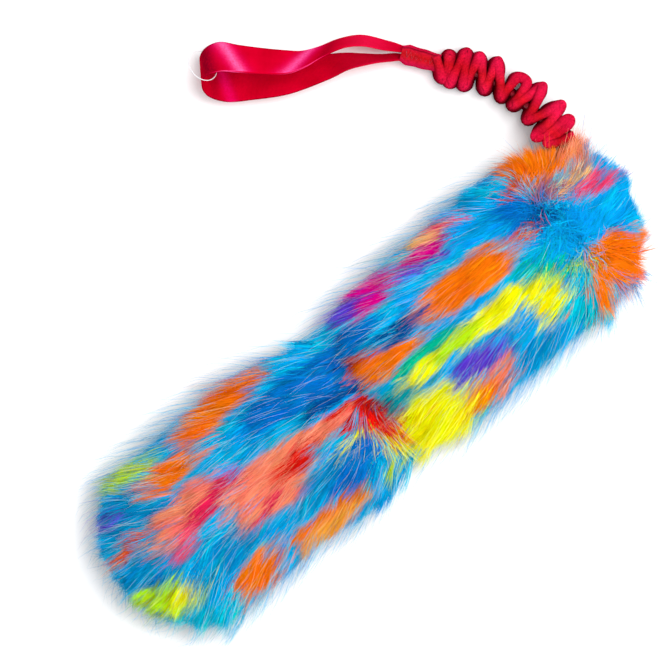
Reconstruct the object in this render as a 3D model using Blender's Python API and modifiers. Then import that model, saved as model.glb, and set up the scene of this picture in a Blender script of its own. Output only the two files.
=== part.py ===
# Plush tug toy with a bungee handle, lying on a table.
# Metres, +Z up. +X is right and +Y is up in the top view of the toy.
import math
from collections import namedtuple

import bmesh
import bpy
from mathutils import Matrix, Vector

# Plan scale: the 25 mm webbing measures 37 pixels in the top view.
PIXEL = 0.00068
PLAN_CENTRE_X = 372.9
PLAN_CENTRE_Y = 327.5

# Clearance between pieces that touch
clearance = 0.0003

# Webbing and elastic
webbing_width = 0.025
webbing_thickness = 0.0012
core_diameter = 0.004
thread_diameter = 0.0008

# Neck, where the strap ends are folded and sewn round the elastic
neck_front_px = (402.0, 52.5)
neck_rear_px = (439.0, 62.6)
neck_fold_height = 0.010
neck_core_length = 0.016
neck_margin = 0.002
stitch_pitch = 0.0016
neck_end_shares = (0.9, 0.45, 0.0)
neck_crown_power = 0.6
neck_stitch_share = 0.55

# Elastic's curve from the neck to the mouth
bungee_lead_px = (488.0, 70.0)
bungee_pull = 0.042
bungee_rise_from = 0.35

# Gathered sleeve over the elastic
sleeve_height = 0.020
sleeve_thickness = 0.0026
sleeve_waves = 9
sleeve_swing = 0.0118
sleeve_first_phase = 0.08
sleeve_first_swing = 0.45
sleeve_first_share = 0.12
sleeve_last_swing = 0.5
sleeve_last_share = 0.14
sleeve_ease_share = 0.08
sleeve_overhang = 0.0011
sleeve_foot = 0.0005

# Plush body: two lobes that meet at a sewn waist
waist_px = (372.0, 394.0)
body_heading = math.radians(40.8)
upper_length = 0.225
upper_width = 0.118
lower_length = 0.212
lower_width = 0.122
lower_sway = 0.009
body_height = 0.060
body_middle = 0.027
upper_cap = 0.060
lower_cap = 0.052
waist_width_share = 0.90
waist_blend = 0.050
lobe_roundness = 0.85
waist_gap = 0.002
fold_limit = math.radians(75.0)
fold_margin = math.radians(3.0)
wall = 0.014
cavity_from_waist = 0.042
cavity_cap_share = 0.7

# Mouth, where the bungee leaves the upper lobe
mouth_from_tip = 0.016
mouth_heading = math.radians(126.0)
tail_heading = math.radians(-107.0)
tab_tail = 0.008
tab_reach = 0.006
tab_trim = 0.004
tail_length = 0.034
tail_slot_overlap = 0.003
tail_stitch_inset = 0.004
tail_stitch_share = 0.34
tail_stitch_rows = 13
pocket_slack = 0.0005

# Squeakers and the wadding round them
squeaker_radius = 0.016
squeaker_height = 0.018
squeaker_wall = 0.0012
squeaker_neck = 0.0055
squeaker_lip = 0.003
squeaker_flat_share = 0.6
squeaker_shoulder_share = 0.88
squeaker_shoulder_rise = 0.34
reed_depth = 0.008
reed_bore = 0.0016
squeaker_place = 0.105
wadding_slack = 0.0006
wadding_split = 0.004
wadding_tail_room = 0.002

# Seams
seam_width = 0.0022
seam_span = 0.056
seam_pitch = 0.004
seam_depth = 0.004
seam_bite = 0.0014
waist_stitch_pitch = 0.006

# Tag loop of clear nylon round the strap, at the handle's turn
tag_loop_diameter = 0.0006
tag_loop_reach = 0.0105
tag_loop_station = 12.4

# Facets
AROUND = 28
ALONG = 22
PILLOW_AROUND = 20
PILLOW_ALONG = 14
TURNED = 16
HALF_TURN_STEPS = 8
WAVE_STEPS = 14
BUNGEE_STEPS = 24
STRAP_STEPS = 4
RING_STEPS = 36
WELD = 0.00001

# A lobe of the plush body: its sway is sideways, and its turn is from the heading
Lobe = namedtuple("Lobe", "side length width cap sway turn")
UPPER = Lobe("upper", upper_length, upper_width, upper_cap, 0.0, 0.0)
LOWER = Lobe("lower", lower_length, lower_width, lower_cap, -lower_sway, math.pi)


def clear_scene():
    for item in list(bpy.data.objects):
        bpy.data.objects.remove(item, do_unlink=True)


def new_collection(name):
    group = bpy.data.collections.new(name)
    bpy.context.scene.collection.children.link(group)
    return group


def material(name, colour, roughness):
    made = bpy.data.materials.new(name)
    made.use_nodes = True
    shader = made.node_tree.nodes["Principled BSDF"]
    shader.inputs["Base Color"].default_value = (*colour, 1.0)
    shader.inputs["Roughness"].default_value = roughness
    shader.inputs["Metallic"].default_value = 0.0
    return made


def at_pixel(px, py, height=0.0):
    return Vector(((px - PLAN_CENTRE_X) * PIXEL, (PLAN_CENTRE_Y - py) * PIXEL, height))


def smooth(share):
    held = min(max(share, 0.0), 1.0)
    return held * held * (3.0 - 2.0 * held)


def through(points, count):
    """Points on a smooth curve through the given points, count to each span."""
    last = len(points) - 1
    path = []
    for span in range(last):
        before = points[max(span - 1, 0)]
        start = points[span]
        end = points[span + 1]
        after = points[min(span + 2, last)]
        for step in range(count):
            s = step / count
            path.append([
                0.5 * (2 * b + (c - a) * s + (2 * a - 5 * b + 4 * c - d) * s * s
                       + (3 * b - a - 3 * c + d) * s ** 3)
                for a, b, c, d in zip(before, start, end, after)
            ])
    path.append(list(points[last]))
    return path


# Mesh helpers


def add_object(name, mesh, group, finish=None, shaded=True):
    made = bpy.data.objects.new(name, mesh)
    group.objects.link(made)
    if finish:
        mesh.materials.append(finish)
    if shaded:
        mesh.shade_smooth()
        mesh.set_sharp_from_angle(angle=math.radians(50))
    return made


def as_cutter(item):
    item.hide_render = True
    item.display_type = "WIRE"


def grid_mesh(name, columns, rows, place, closed_round=False):
    """A grid primitive whose points are placed by a rule of its two shares."""
    bm = bmesh.new()
    bmesh.ops.create_grid(bm, x_segments=columns, y_segments=rows, size=1.0)
    for vert in bm.verts:
        vert.co = place((vert.co.x + 1.0) / 2.0, (vert.co.y + 1.0) / 2.0)
    if closed_round:
        bmesh.ops.remove_doubles(bm, verts=bm.verts, dist=WELD)
        edges = [edge for edge in bm.edges if edge.is_boundary]
        bmesh.ops.holes_fill(bm, edges=edges, sides=0)
    bmesh.ops.recalc_face_normals(bm, faces=bm.faces)
    mesh = bpy.data.meshes.new(name)
    bm.to_mesh(mesh)
    bm.free()
    return mesh


def tube(name, path, diameter, group, finish=None, sides=2, ring=False):
    """A tube along a poly spline, with filled caps or closed into a ring."""
    data = bpy.data.curves.new(name, "CURVE")
    data.dimensions = "3D"
    data.bevel_depth = diameter / 2.0
    data.bevel_resolution = sides
    data.use_fill_caps = not ring
    spline = data.splines.new("POLY")
    spline.points.add(len(path) - 1)
    spline.use_cyclic_u = ring
    for point, place in zip(spline.points, path):
        point.co = (*place, 1.0)
    return welded(name, data, group, finish)


def plate(name, outline, thickness, place, group, finish=None):
    """A flat outline, extruded by half its thickness each way and then placed."""
    data = bpy.data.curves.new(name, "CURVE")
    data.dimensions = "2D"
    data.fill_mode = "BOTH"
    data.extrude = thickness / 2.0
    spline = data.splines.new("POLY")
    spline.points.add(len(outline) - 1)
    spline.use_cyclic_u = True
    for point, spot in zip(spline.points, outline):
        point.co = (*spot, 0.0, 1.0)
    return welded(name, data, group, finish, place)


def welded(name, data, group, finish, place=None):
    source = bpy.data.objects.new(name + "_curve", data)
    group.objects.link(source)
    bpy.context.view_layer.update()
    graph = bpy.context.evaluated_depsgraph_get()
    mesh = bpy.data.meshes.new_from_object(source.evaluated_get(graph))
    bpy.data.objects.remove(source, do_unlink=True)
    bpy.data.curves.remove(data)
    mesh.name = name
    bm = bmesh.new()
    bm.from_mesh(mesh)
    bmesh.ops.remove_doubles(bm, verts=bm.verts, dist=WELD)
    bmesh.ops.recalc_face_normals(bm, faces=bm.faces)
    bm.to_mesh(mesh)
    bm.free()
    made = add_object(name, mesh, group, finish)
    if place:
        made.matrix_world = place
    return made


def cut(item, cutters):
    for cutter in cutters:
        step = item.modifiers.new(cutter.name, "BOOLEAN")
        step.operation = "DIFFERENCE"
        step.object = cutter
    return item


def box(name, size, place, group):
    bm = bmesh.new()
    bmesh.ops.create_cube(bm, size=1.0)
    bmesh.ops.scale(bm, vec=size, verts=bm.verts)
    mesh = bpy.data.meshes.new(name)
    bm.to_mesh(mesh)
    bm.free()
    made = add_object(name, mesh, group, shaded=False)
    made.matrix_world = place
    as_cutter(made)
    return made


def cylinder(name, radius, height, place, group):
    bm = bmesh.new()
    bmesh.ops.create_cone(bm, cap_ends=True, segments=24, radius1=radius,
                          radius2=radius, depth=height)
    mesh = bpy.data.meshes.new(name)
    bm.to_mesh(mesh)
    bm.free()
    made = add_object(name, mesh, group, shaded=False)
    made.matrix_world = place
    as_cutter(made)
    return made


def turned(name, profile, group, finish=None, ring=False):
    """An outline of radius and height, turned about Z by a Screw modifier."""
    bm = bmesh.new()
    verts = [bm.verts.new((radius, 0.0, height)) for radius, height in profile]
    for vert, following in zip(verts, verts[1:] + verts[:1] * ring):
        bm.edges.new((vert, following))
    mesh = bpy.data.meshes.new(name)
    bm.to_mesh(mesh)
    bm.free()
    made = add_object(name, mesh, group, finish, shaded=False)
    step = made.modifiers.new("turn", "SCREW")
    step.axis = "Z"
    step.steps = TURNED
    step.render_steps = TURNED
    step.use_merge_vertices = True
    step.merge_threshold = WELD
    return made


# The plush body's form, in a lobe's own frame: X from the waist to the tip,
# Y across, and Z up from the middle height


def half_height():
    return body_height - body_middle


def lobe_half_height(x):
    """Rises from the waist inside the wedge that the fold leaves free."""
    wedge = math.tan((math.pi - fold_limit) / 2.0 - fold_margin)
    return half_height() * math.tanh(wedge * x / half_height())


def lobe_half_width(x, width):
    share = waist_width_share + (1.0 - waist_width_share) * smooth(x / waist_blend)
    return width / 2.0 * share


def cap_share(x, length, cap):
    inside = min(max((length - x) / cap, 0.0), 1.0)
    return math.sqrt(1.0 - (1.0 - inside) ** 2)


def rounded(angle, reach):
    turn = math.cos(angle)
    return reach * math.copysign(abs(turn) ** lobe_roundness, turn)


def swayed(lobe, x):
    return lobe.sway * smooth(x / (lobe.length / 2.0))


def lobe_frame(turn=0.0):
    spot = at_pixel(*waist_px, body_middle)
    return Matrix.Translation(spot) @ Matrix.Rotation(body_heading + turn, 4, "Z")


def lobe_mesh(name, lobe):
    def place(along, around):
        # Stations crowd towards both ends, where the form turns fastest.
        x = waist_gap + (lobe.length - waist_gap) * (1.0 - math.cos(math.pi * along)) / 2.0
        shrink = cap_share(x, lobe.length, lobe.cap)
        angle = 2.0 * math.pi * around
        y = rounded(angle, lobe_half_width(x, lobe.width) * shrink)
        z = rounded(angle - math.pi / 2.0, lobe_half_height(x) * shrink)
        return Vector((x, y + swayed(lobe, x), max(z, -body_middle)))

    return grid_mesh(name, ALONG, AROUND, place, closed_round=True)


def pillow_mesh(name, lobe, slack):
    """The form of a lobe's hollow, or of the wadding that fills it with some slack."""
    start = cavity_from_waist + slack
    end = lobe.length - wall - slack
    half_width = lobe.width / 2.0 - wall - slack
    half_tall = half_height() - wall - slack
    cap = lobe.cap * cavity_cap_share

    def place(along, around):
        x = start + (end - start) * (1.0 - math.cos(math.pi * along)) / 2.0
        shrink = min(cap_share(x, end, cap), cap_share(start + end - x, end, cap))
        angle = 2.0 * math.pi * around
        y = rounded(angle, half_width * shrink)
        z = rounded(angle - math.pi / 2.0, half_tall * shrink)
        return Vector((x, y + swayed(lobe, x), z))

    return grid_mesh(name, PILLOW_ALONG, PILLOW_AROUND, place, closed_round=True)


def make_lobe(lobe, pieces, cutters, finish):
    name = "fur_" + lobe.side
    skin = add_object(name, lobe_mesh(name, lobe), pieces, finish)
    skin.matrix_world = lobe_frame(lobe.turn)
    name += "_hollow"
    hollow = add_object(name, pillow_mesh(name, lobe, 0.0), cutters, shaded=False)
    hollow.matrix_world = lobe_frame(lobe.turn)
    as_cutter(hollow)
    return cut(skin, [hollow])


# Seams


def tip_edge(y, lobe):
    """How far along a lobe its outline lies, at a distance across it."""
    share = min(abs(y) / (lobe.width / 2.0), 1.0)
    return lobe.length - lobe.cap * (1.0 - math.sqrt(1.0 - share ** 2))


def make_seam(lobe, skin, pieces, cutters, finish):
    """A slit through the lobe's tip, and the closing thread that lies in it."""
    frame = lobe_frame(lobe.turn)
    depth = wall + seam_depth
    slit = box(f"seam_{lobe.side}_slit", (2.0 * depth, seam_span, seam_width),
               frame @ Matrix.Translation((lobe.length, lobe.sway, 0.0)), cutters)
    cut(skin, [slit])
    count = int((seam_span - 2.0 * seam_pitch) / seam_pitch)
    path = []
    for number in range(2 * count + 1):
        y = seam_pitch * (number - count) / 2.0
        inset = seam_depth + seam_bite * (-1) ** number
        path.append(frame @ Vector((tip_edge(y, lobe) - inset, y + lobe.sway, 0.0)))
    tube(f"seam_{lobe.side}_thread", path, thread_diameter, pieces, finish, sides=1)


def make_waist_stitch(pieces, finish):
    """Zigzag thread along the fold between the lobes."""
    reach = lobe_half_width(0.0, min(upper_width, lower_width)) - seam_pitch
    count = int(reach / waist_stitch_pitch)
    path = []
    for number in range(-2 * count, 2 * count + 1):
        bite = (waist_gap - clearance - thread_diameter / 2.0) * (-1) ** number
        path.append(lobe_frame() @ Vector((bite, waist_stitch_pitch * number / 2.0, 0.0)))
    tube("waist_stitch", path, thread_diameter, pieces, finish, sides=1)


# Squeakers and wadding


def squeaker_profile():
    """Down the inside from the neck's rim, round the base and up the outside."""
    r = squeaker_radius
    t = squeaker_wall
    n = squeaker_neck
    flat = r * squeaker_flat_share
    shoulder = r * squeaker_shoulder_share
    rise = squeaker_height * squeaker_shoulder_rise
    top = squeaker_height / 2.0
    rim = top + squeaker_lip
    inside = [(0.0, t - top), (flat, t - top), (shoulder - t, t - rise), (r - t, 0.0),
              (shoulder - t, rise - t), (flat, top - t), (n - t, top - t), (n - t, rim)]
    outside = [(n, rim), (n, top), (flat, top), (shoulder, rise), (r, 0.0), (shoulder, -rise),
               (flat, -top), (0.0, -top)]
    return inside + outside


def reed_profile():
    top = squeaker_height / 2.0 + squeaker_lip + clearance
    stem = squeaker_neck - squeaker_wall - clearance
    return [(squeaker_neck, top + squeaker_wall), (squeaker_neck, top), (stem, top),
            (stem, top - reed_depth), (reed_bore, top - reed_depth),
            (reed_bore, top + squeaker_wall)]


def make_squeaker(lobe, pieces, finish):
    """Sunk, so that its lip and its base are centred in the wadding."""
    sunk = -(squeaker_lip + squeaker_wall + clearance) / 2.0
    frame = lobe_frame(lobe.turn) @ Matrix.Translation((squeaker_place, lobe.sway, sunk))
    name = "squeaker_" + lobe.side
    bulb = turned(name + "_bulb", squeaker_profile(), pieces, finish)
    bulb.matrix_world = frame
    reed = turned(name + "_reed", reed_profile(), pieces, finish, ring=True)
    reed.matrix_world = frame


def make_wadding(lobe, pieces, cutters, finish):
    name = "wadding_" + lobe.side
    wadding = add_object(name, pillow_mesh(name, lobe, wadding_slack), pieces, finish)
    wadding.matrix_world = lobe_frame(lobe.turn)
    centre = lobe_frame(lobe.turn) @ Matrix.Translation((squeaker_place, lobe.sway, 0.0))
    tall = squeaker_height + squeaker_lip + squeaker_wall + 3.0 * clearance
    pocket = cylinder(name + "_pocket", squeaker_radius + clearance, tall, centre, cutters)
    reach = squeaker_place - cavity_from_waist + wadding_split
    slit = box(name + "_slit", (reach, 2.0 * squeaker_radius, wadding_split),
               centre @ Matrix.Translation((-reach / 2.0, 0, 0)), cutters)
    return cut(wadding, [pocket, slit])


# Mouth and anchor


def mouth_point():
    x = upper_length - mouth_from_tip
    y = lobe_half_width(x, upper_width) * cap_share(x, upper_length, upper_cap)
    return lobe_frame() @ Vector((x, y, 0.0))


def mouth_frame():
    """At the mouth: X out along the bungee, Y across and Z up."""
    return Matrix.Translation(mouth_point()) @ Matrix.Rotation(mouth_heading, 4, "Z")


def tail_frame():
    """The tail runs on inside the plush, from the mouth to the lobe's middle."""
    return Matrix.Translation(mouth_point()) @ Matrix.Rotation(tail_heading + math.pi, 4, "Z")


def tab_half_thickness():
    return core_diameter / 2.0 + clearance + webbing_thickness


def tab_height():
    return sleeve_height - tab_trim


def tail_thickness():
    """The tab's two layers, sewn together."""
    return 2.0 * webbing_thickness


def pocket_radius():
    return tab_tail + pocket_slack


def make_tab(pieces, finish):
    """Webbing folded round the elastic's end, open towards the bungee."""
    outer = tab_half_thickness()
    inner = outer - webbing_thickness
    bend = [math.pi * (0.5 + step / HALF_TURN_STEPS) for step in range(HALF_TURN_STEPS + 1)]
    fold = outer - tab_tail
    outline = [(tab_reach, outer)]
    outline += [(fold + outer * math.cos(turn), outer * math.sin(turn)) for turn in bend]
    outline += [(tab_reach, -outer), (tab_reach, -inner)]
    outline += [(fold + inner * math.cos(turn), inner * math.sin(turn)) for turn in reversed(bend)]
    outline += [(tab_reach, inner)]
    plate("anchor_tab", outline, tab_height(), mouth_frame(), pieces, finish)


def make_tail(pieces, finish, thread_finish):
    start = -pocket_radius() - clearance
    half = tail_thickness() / 2.0
    tail = [(start, half), (start - tail_length, half), (start - tail_length, -half),
            (start, -half)]
    plate("anchor_tail", tail, tab_height(), tail_frame(), pieces, finish)
    proud = half + clearance + thread_diameter / 2.0
    rows = []
    for step in range(tail_stitch_rows):
        along = start - tail_length + tail_stitch_inset + stitch_pitch * step
        rise = tab_height() * tail_stitch_share * (-1) ** step
        rows.append(tail_frame() @ Vector((along, proud, rise)))
    tube("anchor_stitch", rows, thread_diameter, pieces, thread_finish, sides=1)


def mouth_pocket(cutters):
    """Round pocket in the pile that the anchor tab swings in."""
    return cylinder("mouth_pocket", pocket_radius(), tab_height() + 2.0 * clearance,
                    mouth_frame(), cutters)


def tail_cutter(name, cutters, spare):
    long = tail_length + 2.0 * tail_slot_overlap
    size = (long, tail_thickness() + 2.0 * (thread_diameter + clearance + spare),
            tab_height() + 2.0 * spare)
    middle = tail_slot_overlap - pocket_radius() - long / 2.0
    return box(name, size, tail_frame() @ Matrix.Translation((middle, 0, 0)), cutters)


# Bungee


def bungee_point(share):
    """The elastic's middle line in plan, from the neck to the mouth."""
    start = at_pixel(*neck_rear_px)
    end = mouth_point()
    end.z = 0.0
    lead = at_pixel(*bungee_lead_px)
    pull = end + Vector((math.cos(mouth_heading), math.sin(mouth_heading), 0.0)) * bungee_pull
    rest = 1.0 - share
    spot = (start * rest ** 3 + lead * 3 * rest ** 2 * share + pull * 3 * rest * share ** 2
            + end * share ** 3)
    low = bungee_low()
    risen = smooth((share - bungee_rise_from) / (1.0 - bungee_rise_from))
    spot.z = low + (body_middle - low) * risen
    return spot


def bungee_low():
    return sleeve_foot + sleeve_height / 2.0


def bungee_length():
    steps = 8 * BUNGEE_STEPS
    spots = [bungee_point(step / steps) for step in range(steps + 1)]
    return sum((b - a).length for a, b in zip(spots, spots[1:]))


def core_path():
    steps = 4
    front = neck_direction() * neck_core_length
    start = at_pixel(*neck_rear_px, bungee_low())
    path = [start - front * (1.0 - step / steps) for step in range(steps)]
    return path + [bungee_point(step / BUNGEE_STEPS) for step in range(BUNGEE_STEPS + 1)]


def bungee_heading(share):
    """Level direction of the elastic's middle line."""
    step = 1.0 / (8 * BUNGEE_STEPS)
    ahead = bungee_point(min(share + step, 1.0)) - bungee_point(max(share - step, 0.0))
    ahead.z = 0.0
    return ahead.normalized()


def sleeve_wave(share):
    """Sideways and lengthways offset of the gathered webbing at a share of its way."""
    phase = 2.0 * math.pi * (sleeve_waves * share + sleeve_first_phase * (1.0 - 2.0 * share))
    grow = smooth(share / sleeve_first_share)
    fade = smooth((share + sleeve_last_share - 1.0) / sleeve_last_share)
    swing = (sleeve_first_swing + (1.0 - sleeve_first_swing) * grow)
    swing *= sleeve_swing * (1.0 - (1.0 - sleeve_last_swing) * fade)
    ease = smooth(share / sleeve_ease_share) * smooth((1.0 - share) / sleeve_ease_share)
    return swing * math.sin(phase), -sleeve_overhang * ease * math.sin(2.0 * phase)


def sleeve_path():
    """Ribbon-candy waves about the elastic, from the neck to the mouth."""
    length = bungee_length()
    first = sleeve_thickness
    last = length - tab_reach - clearance - sleeve_thickness
    steps = sleeve_waves * WAVE_STEPS
    path = []
    for step in range(steps + 1):
        share = step / steps
        along = (first + (last - first) * share) / length
        ahead = bungee_heading(along)
        side = Vector((-ahead.y, ahead.x, 0.0))
        across, lean = sleeve_wave(share)
        path.append(bungee_point(along) + side * across + ahead * lean)
    return path


def make_sleeve(pieces, cutters, finish):
    path = sleeve_path()
    count = len(path) - 1

    def place(along, across):
        number = round(along * count)
        spot = path[number]
        return spot + Vector((0.0, 0.0, (across - 0.5) * sleeve_height))

    mesh = grid_mesh("bungee_sleeve", count, 1, place)
    sleeve = add_object("bungee_sleeve", mesh, pieces, finish)
    skin = sleeve.modifiers.new("skin", "SOLIDIFY")
    skin.thickness = sleeve_thickness
    skin.offset = 0.0
    skin.use_even_offset = True
    channel = tube("sleeve_channel", core_path(), core_diameter + 2.0 * clearance, cutters, sides=2)
    as_cutter(channel)
    cut(sleeve, [channel])
    return sleeve


# Handle


# The strap's key places on its way round the loop: pixel x and y, height of its
# lower edge in mm, dip of its width from level in degrees, heading of its width
# from north in degrees, and the share of the webbing's width left unfolded
LOOP_KEYS = [
    (385.0, 41.5, 2.6, 80, -6, 0.80),
    (362.0, 40.0, 3.2, 72, 2, 1.0),
    (341.0, 43.0, 6.0, 72, 18, 1.0),
    (320.0, 52.0, 10.0, 70, 20, 1.0),
    (303.0, 59.0, 14.0, 60, 14, 1.0),
    (285.0, 62.0, 18.0, 47, 4, 1.0),
    (262.0, 61.0, 21.0, 44, 0, 1.0),
    (238.0, 57.5, 23.6, 42, 0, 1.0),
    (220.0, 55.5, 24.4, 40, 2, 1.0),
    (206.0, 62.0, 20.0, 40, 4, 1.0),
    (200.5, 71.5, 11.9, 40, 5, 1.0),
    (206.5, 82.0, 4.4, 40, 4, 1.0),
    (226.0, 88.0, 0.8, 42, 2, 1.0),
    (252.0, 86.0, 0.8, 42, 2, 1.0),
    (287.0, 80.5, 0.8, 42, 8, 1.0),
    (323.0, 67.5, 0.8, 44, 16, 1.0),
    (345.0, 61.0, 0.8, 58, 12, 1.0),
    (362.0, 59.0, 0.8, 68, 6, 1.0),
    (380.0, 58.0, 1.4, 78, -2, 0.86),
]


def neck_direction():
    return (at_pixel(*neck_rear_px) - at_pixel(*neck_front_px)).normalized()


def neck_side():
    ahead = neck_direction()
    return Vector((-ahead.y, ahead.x, 0.0))


def strap_offset():
    """From the neck's middle to the middle of each strap end beside the elastic."""
    return core_diameter / 2.0 + clearance + webbing_thickness / 2.0


def neck_key(share, side):
    """A strap end's key place in the neck, at a share of the way to the rear."""
    px, py = (a + (b - a) * share for a, b in zip(neck_front_px, neck_rear_px))
    shift = neck_side() * strap_offset() * side / PIXEL
    lift = (bungee_low() - neck_fold_height / 2.0) * 1000.0
    heading = math.degrees(math.atan2(neck_direction().y, neck_direction().x))
    return (px + shift.x, py - shift.y, lift, 90, heading, neck_fold_height / webbing_width)


def strap_keys():
    leaving = [neck_key(share, 1.0) for share in neck_end_shares]
    arriving = [neck_key(share, -1.0) for share in reversed(neck_end_shares)]
    return leaving + LOOP_KEYS + arriving


def strap_stations(count):
    """Middle and width vector of the strap at each station."""
    stations = []
    for px, py, lift, dip, heading, share in through(strap_keys(), count):
        width = webbing_width * share
        dip = math.radians(dip)
        heading = math.radians(heading)
        middle = at_pixel(px, py, lift / 1000.0 + width * math.sin(dip) / 2.0)
        across = Vector((-math.sin(heading) * math.cos(dip), math.cos(heading) * math.cos(dip),
                         -math.sin(dip)))
        stations.append((middle, across * width))
    return stations


def make_strap(pieces, finish):
    stations = strap_stations(STRAP_STEPS)
    count = len(stations) - 1

    def place(along, across):
        middle, width = stations[round(along * count)]
        return middle + width * (across - 0.5)

    mesh = grid_mesh("handle_loop", count, 2, place)
    strap = add_object("handle_loop", mesh, pieces, finish)
    skin = strap.modifiers.new("skin", "SOLIDIFY")
    skin.thickness = webbing_thickness
    skin.offset = 0.0
    skin.use_even_offset = True
    return strap


def neck_frame():
    """At the neck's middle: X across, Y up and Z towards the bungee."""
    up = Vector((0.0, 0.0, 1.0))
    turn = Matrix((up.cross(neck_direction()), up, neck_direction())).transposed()
    middle = (at_pixel(*neck_front_px) + at_pixel(*neck_rear_px)) / 2.0
    middle.z = bungee_low()
    return Matrix.Translation(middle) @ turn.to_4x4()


def neck_length():
    return (at_pixel(*neck_rear_px) - at_pixel(*neck_front_px)).length - neck_margin


def make_neck(pieces, finish, thread_finish):
    """Webbing folded over both strap ends and the elastic, open below."""
    inner = strap_offset() + webbing_thickness / 2.0 + 2.0 * clearance
    outer = inner + webbing_thickness
    top = neck_fold_height / 2.0 + clearance
    turns = [math.pi * step / HALF_TURN_STEPS for step in range(1, HALF_TURN_STEPS)]
    outline = [(outer, -top), (outer, top)]
    outline += [(outer * math.cos(turn), top + webbing_thickness * math.sin(turn) ** neck_crown_power)
                for turn in turns]
    outline += [(-outer, top), (-outer, -top), (-inner, -top), (-inner, top), (inner, top),
                (inner, -top)]
    plate("neck_wrap", outline, neck_length(), neck_frame(), pieces, finish)
    count = int((neck_length() - 2.0 * stitch_pitch) / stitch_pitch)
    rise = top + webbing_thickness + clearance + thread_diameter / 2.0
    path = []
    for number in range(count + 1):
        side = inner * neck_stitch_share * (-1) ** number
        along = stitch_pitch * (number - count / 2.0)
        path.append(neck_frame() @ Vector((side, rise, along)))
    tube("neck_stitch", path, thread_diameter, pieces, thread_finish, sides=1)


def make_tag_loop(pieces, finish):
    """Thin nylon ring round the strap's width, at the loop's turn."""
    stations = strap_stations(10)
    number = round(tag_loop_station * 10)
    middle, width = stations[number]
    along = (stations[number + 1][0] - stations[number - 1][0]).normalized()
    down = width.normalized()
    out = down.cross(along).normalized()
    half = webbing_width / 2.0 + clearance + tag_loop_diameter / 2.0
    path = []
    for step in range(RING_STEPS):
        turn = 2.0 * math.pi * step / RING_STEPS
        path.append(middle + down * half * math.cos(turn) + out * tag_loop_reach * math.sin(turn))
    tube("tag_loop", path, tag_loop_diameter, pieces, finish, sides=1, ring=True)


def build():
    clear_scene()
    pieces = new_collection("tug_toy")
    cutters = new_collection("cutters")
    crimson = material("crimson_webbing", (0.62, 0.01, 0.07), 0.45)
    plush = material("plush", (0.02, 0.42, 0.72), 0.85)
    white = material("wadding", (0.85, 0.85, 0.83), 0.95)
    clear_plastic = material("squeaker_plastic", (0.80, 0.82, 0.84), 0.30)
    elastic = material("elastic", (0.75, 0.74, 0.72), 0.60)
    thread = material("thread", (0.55, 0.01, 0.06), 0.50)
    plush_thread = material("plush_thread", (0.05, 0.35, 0.60), 0.60)
    nylon = material("clear_nylon", (0.88, 0.88, 0.88), 0.20)

    for lobe in (UPPER, LOWER):
        skin = make_lobe(lobe, pieces, cutters, plush)
        wadding = make_wadding(lobe, pieces, cutters, white)
        if lobe is UPPER:
            cut(skin, [mouth_pocket(cutters), tail_cutter("tail_slot", cutters, 0.0)])
            cut(wadding, [tail_cutter("tail_room", cutters, wadding_tail_room)])
        make_seam(lobe, skin, pieces, cutters, plush_thread)
        make_squeaker(lobe, pieces, clear_plastic)
    make_waist_stitch(pieces, plush_thread)
    make_tab(pieces, crimson)
    make_tail(pieces, crimson, thread)
    tube("bungee_core", core_path(), core_diameter, pieces, elastic)
    make_sleeve(pieces, cutters, crimson)
    make_strap(pieces, crimson)
    make_neck(pieces, crimson, thread)
    make_tag_loop(pieces, nylon)


build()
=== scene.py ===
# Looks of the plush tug toy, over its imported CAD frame.
import math

import bmesh
import bpy
import numpy as np
from mathutils import Matrix, Vector, kdtree


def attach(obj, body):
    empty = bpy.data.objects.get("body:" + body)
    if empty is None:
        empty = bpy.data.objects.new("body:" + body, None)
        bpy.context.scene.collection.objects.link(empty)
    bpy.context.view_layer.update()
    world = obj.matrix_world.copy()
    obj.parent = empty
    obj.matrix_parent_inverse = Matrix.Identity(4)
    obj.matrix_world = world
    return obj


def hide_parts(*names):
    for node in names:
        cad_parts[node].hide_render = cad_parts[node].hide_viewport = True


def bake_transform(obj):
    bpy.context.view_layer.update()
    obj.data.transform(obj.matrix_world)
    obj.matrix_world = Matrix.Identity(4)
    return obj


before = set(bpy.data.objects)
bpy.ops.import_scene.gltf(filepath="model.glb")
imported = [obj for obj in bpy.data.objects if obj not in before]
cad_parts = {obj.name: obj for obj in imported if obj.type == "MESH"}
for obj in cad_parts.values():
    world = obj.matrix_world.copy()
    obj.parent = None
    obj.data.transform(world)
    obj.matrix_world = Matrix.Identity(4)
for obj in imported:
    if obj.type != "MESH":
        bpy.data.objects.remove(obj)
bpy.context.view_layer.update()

# The photo's scale and width, and the toy's plan centre in its pixels
PIXEL = 0.00068
PICTURE = 665
PLAN_CENTRE = (372.9, 327.5)

# The plush body, as in the CAD source. A lobe has a length, a width, a cap and a sway.
WAIST = (372.0, 394.0)
BODY_MIDDLE = 0.027
BODY_TALL = 0.033
HEADING = math.radians(40.8)
UPPER = (0.225, 0.118, 0.060, 0.0)
LOWER = (0.212, 0.122, 0.052, 0.009)
WAIST_WIDTH_SHARE = 0.9
WAIST_BLEND = 0.05
WEDGE = math.tan(math.radians(49.5))

# The padded backing, which lies inside the CAD body
SKIN_INSET = 0.0065
SKIN_LOWEST = 0.0025
SKIN_ROUNDNESS = 0.85
SKIN_GIRTH = 0.3
LUMP_HEIGHT = 0.0012
LUMP_SIZE = 0.045

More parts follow.
